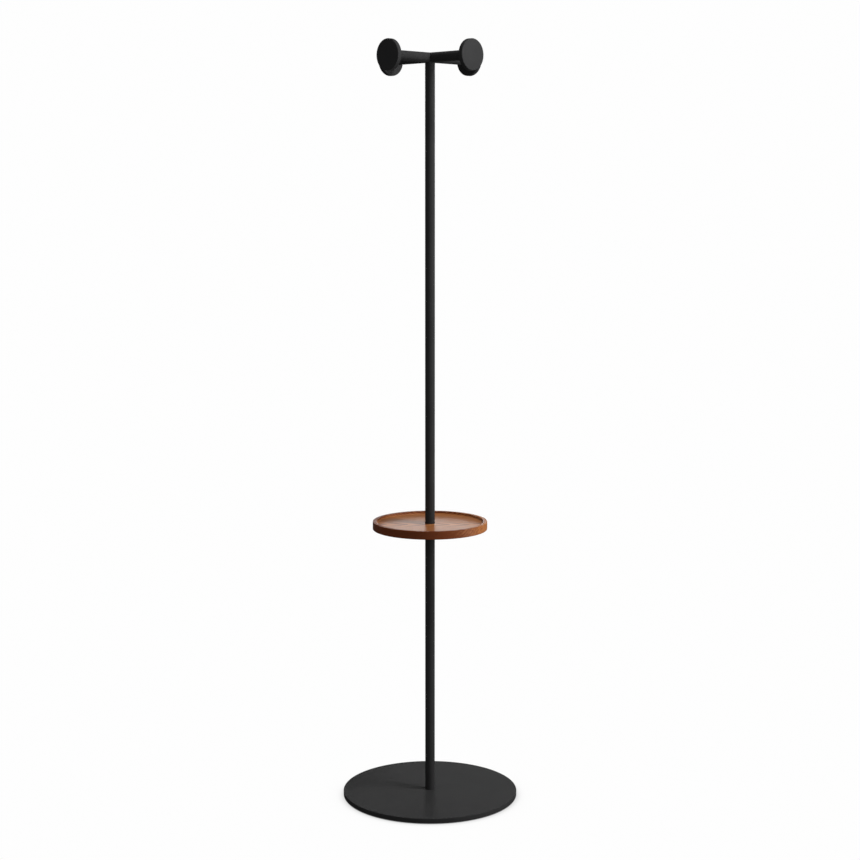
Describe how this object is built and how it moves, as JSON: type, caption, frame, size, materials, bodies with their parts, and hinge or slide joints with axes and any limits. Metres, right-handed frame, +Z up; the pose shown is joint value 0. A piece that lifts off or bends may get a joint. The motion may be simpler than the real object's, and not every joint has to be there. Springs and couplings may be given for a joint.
{
  "type": "valet stand",
  "caption": "Free-standing valet stand: round weighted base, slim pole, dished wooden tray at mid height and a crossed head of horizontal arms ending in flat disc knobs.",
  "frame": {"origin": "on the floor at the pole's axis, which is the centre of the box's underside", "axes": "+Z up along the pole; -Y is the front; the four arms point halfway between the X and Y axes"},
  "size_m": [0.3999, 0.4, 1.709],
  "materials": {
    "black_powder_coat": "satin",
    "walnut": "satin lacquer",
    "zinc_plated_steel": "bright zinc plate",
    "bare_steel": "turned, bare",
    "foam_pad": "matte"
  },
  "bodies": {
    "root": {"arm_front_left": "black_powder_coat", "arm_front_right": "black_powder_coat", "arm_inner_plug_front_left": "bare_steel", "arm_inner_plug_front_right": "bare_steel", "arm_inner_plug_rear_left": "bare_steel", "arm_inner_plug_rear_right": "bare_steel", "arm_outer_plug_front_left": "bare_steel", "arm_outer_plug_front_right": "bare_steel", "arm_outer_plug_rear_left": "bare_steel", "arm_outer_plug_rear_right": "bare_steel", "arm_rear_left": "black_powder_coat", "arm_rear_right": "black_powder_coat", "arm_stud_front_left": "zinc_plated_steel", "arm_stud_front_right": "zinc_plated_steel", "arm_stud_rear_left": "zinc_plated_steel", "arm_stud_rear_right": "zinc_plated_steel", "base_bolt": "zinc_plated_steel", "base_plate": "black_powder_coat", "floor_pad": "foam_pad", "head_hub": "black_powder_coat", "head_stud": "zinc_plated_steel", "knob_front_left": "black_powder_coat", "knob_front_right": "black_powder_coat", "knob_rear_left": "black_powder_coat", "knob_rear_right": "black_powder_coat", "knob_stud_front_left": "zinc_plated_steel", "knob_stud_front_right": "zinc_plated_steel", "knob_stud_rear_left": "zinc_plated_steel", "knob_stud_rear_right": "zinc_plated_steel", "lower_pole": "black_powder_coat", "lower_pole_foot_plug": "bare_steel", "lower_pole_top_plug": "bare_steel", "tray": "walnut", "tray_flange": "black_powder_coat", "tray_screws": "zinc_plated_steel", "tray_stud": "zinc_plated_steel", "upper_pole": "black_powder_coat", "upper_pole_foot_plug": "bare_steel", "upper_pole_top_plug": "bare_steel"}
  },
  "joints": []
}
